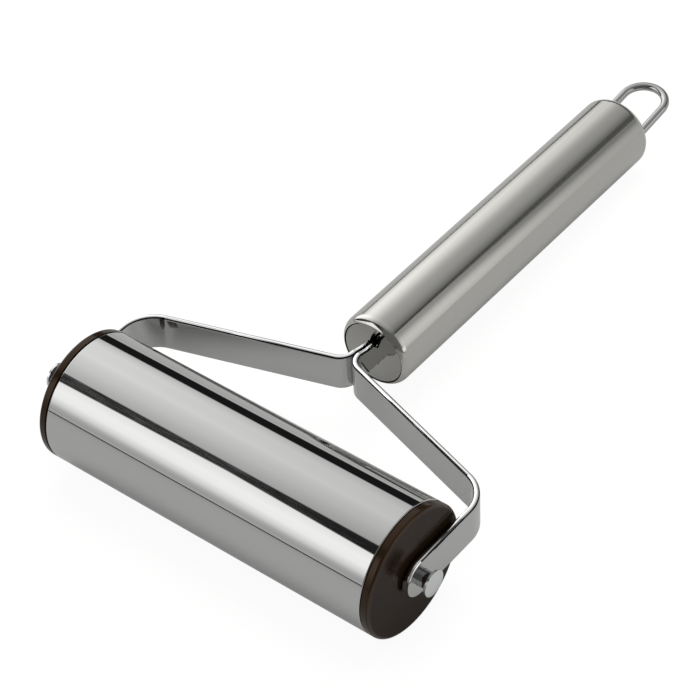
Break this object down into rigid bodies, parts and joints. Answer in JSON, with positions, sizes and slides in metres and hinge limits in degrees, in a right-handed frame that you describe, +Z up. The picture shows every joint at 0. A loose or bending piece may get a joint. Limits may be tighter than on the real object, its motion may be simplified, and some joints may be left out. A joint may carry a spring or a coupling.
{
  "type": "dough roller",
  "caption": "Hand roller for dough: a free-turning polished steel drum with brown plastic end caps in a steel yoke, on a tubular handle with a wire hanging loop.",
  "frame": {"origin": "on the table, under the middle of the whole roller's box, with the roller lying on its drum and on the lower edge at the end of its handle", "axes": "+X along the drum's axle, +Y towards the end of the handle with the hanging loop, +Z up"},
  "size_m": [0.1442, 0.2418, 0.042],
  "materials": {
    "drum_polished_steel": "mirror-polished stainless steel tube",
    "cap_brown_plastic": "glossy moulded dark brown plastic",
    "axle_polished_steel": "polished stainless steel",
    "strip_satin_steel": "satin stainless steel strip with polished, rounded edges",
    "handle_satin_steel": "satin stainless steel tube, brushed along its length",
    "plug_polished_steel": "polished stainless steel disc",
    "loop_polished_wire": "bright polished steel wire"
  },
  "bodies": {
    "yoke": {"arm_left": "strip_satin_steel", "arm_right": "strip_satin_steel", "tang_rivets": "strip_satin_steel", "handle_tube": "handle_satin_steel", "handle_front_plug": "plug_polished_steel", "handle_rear_plug": "plug_polished_steel", "hanging_loop": "loop_polished_wire"},
    "axle": {"axle_rod": "axle_polished_steel", "axle_head_left": "axle_polished_steel", "axle_head_right": "axle_polished_steel"},
    "drum": {"roller_shell": "drum_polished_steel", "end_cap_left": "cap_brown_plastic", "end_cap_right": "cap_brown_plastic"}
  },
  "joints": [
    {"name": "drum_spin", "type": "hinge", "parent": "yoke", "child": "axle", "pos_m": [0, -0.09993, 0.021], "axis": [1, 0, 0], "continuous": true},
    {"name": "drum_shift", "type": "slide", "parent": "axle", "child": "drum", "axis": [1, 0, 0], "range_m": [-0.0046, 0.0008]}
  ]
}
